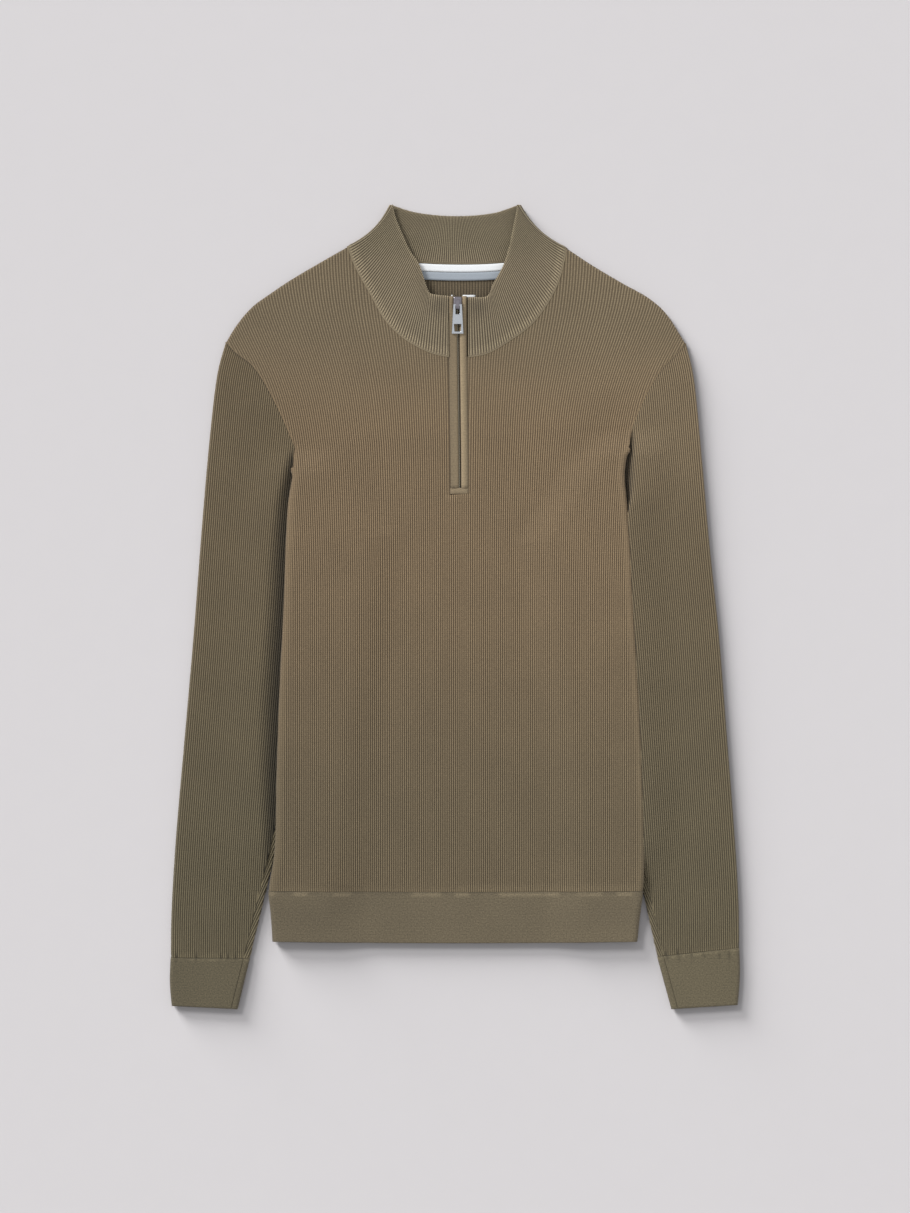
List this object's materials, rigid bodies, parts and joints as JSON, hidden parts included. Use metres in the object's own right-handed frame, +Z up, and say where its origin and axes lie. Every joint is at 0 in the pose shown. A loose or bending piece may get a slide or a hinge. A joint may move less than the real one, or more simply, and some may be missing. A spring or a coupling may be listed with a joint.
{
  "type": "quarter zip sweater",
  "caption": "Ribbed knit sweater with a stand collar and a quarter zip, lying flat and face up with its sides folded under and sleeves straight down.",
  "frame": {"origin": "middle of the garment's outline, on the surface it lies on", "axes": "+Z up from the surface, +Y from the hem to the collar, +X towards the wearer's left"},
  "size_m": [0.5699, 0.8044, 0.0181],
  "materials": {
    "body_knit": "ribbed wool knit, matt",
    "rib": "fine rib knit, matt",
    "zip_tape": "woven polyester tape",
    "zip_teeth": "moulded teeth",
    "tape_white": "white twill tape",
    "tape_grey": "grey twill tape",
    "zip_metal": "satin nickel plating"
  },
  "bodies": {
    "garment": {"front": "body_knit", "back": "body_knit", "sleeve_right": "body_knit", "sleeve_left": "body_knit", "hem_rib_front": "rib", "hem_rib_back": "rib", "cuff_right": "rib", "cuff_left": "rib", "collar": "rib", "placket_right": "rib", "placket_left": "rib", "placket_end": "rib", "zip_tape_right": "zip_tape", "zip_tape_left": "zip_tape", "zip_chain": "zip_teeth", "neck_tape_white": "tape_white", "neck_tape_grey": "tape_grey", "zip_slider": "zip_metal"},
    "pull_tab": {"zip_pull_tab": "zip_metal"}
  },
  "joints": [
    {"name": "tab_hinge", "type": "hinge", "parent": "garment", "child": "pull_tab", "pos_m": [0.0026, 0.3002, 0.0153], "axis": [-1, 0, 0], "range_deg": [0, 150]}
  ]
}
